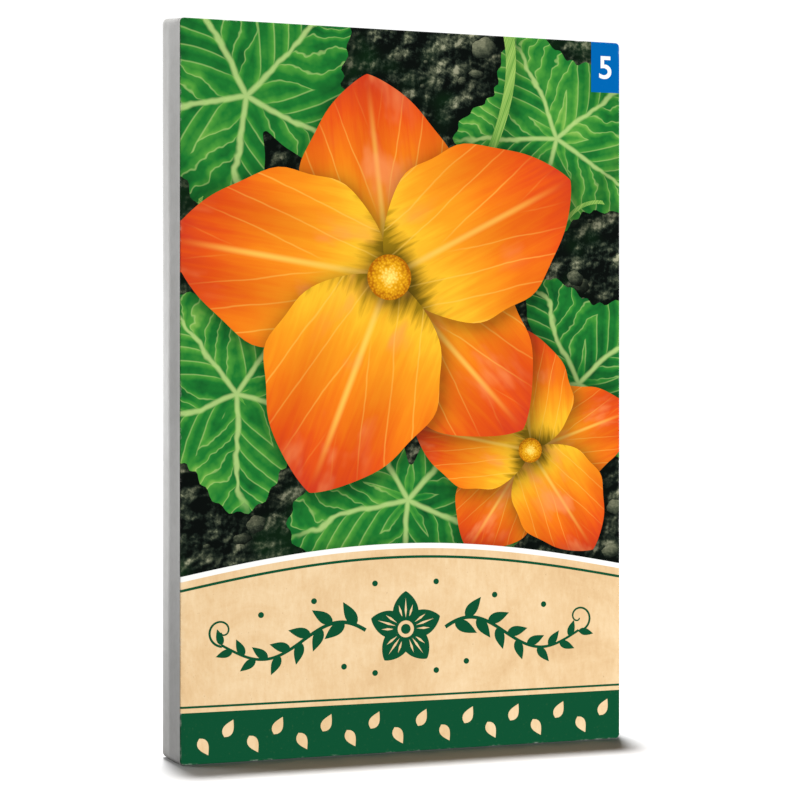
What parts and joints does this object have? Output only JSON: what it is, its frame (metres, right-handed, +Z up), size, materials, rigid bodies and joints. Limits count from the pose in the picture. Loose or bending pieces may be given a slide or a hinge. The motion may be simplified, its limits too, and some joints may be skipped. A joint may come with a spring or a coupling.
{
  "type": "seed packet",
  "caption": "Slim folded paper seed packet with softly creased sides, glued flaps and seam on the back, and loose squash seeds inside. Stands upright on its flat base.",
  "frame": {"origin": "middle of the flat base, under the centre of the packet's box", "axes": "+Z up along the packet's height, +X along its width to the right as seen from the front, -Y out of the printed front panel"},
  "size_m": [0.0982, 0.0102, 0.1501],
  "materials": {
    "printed_paper": "matte coated paper",
    "seed_coat": "dry matte seed coat"
  },
  "bodies": {
    "root": {"envelope": "printed_paper", "seed_1": "seed_coat", "seed_2": "seed_coat", "seed_3": "seed_coat", "seed_4": "seed_coat", "seed_5": "seed_coat", "seed_6": "seed_coat", "seed_7": "seed_coat", "seed_8": "seed_coat"}
  },
  "joints": []
}
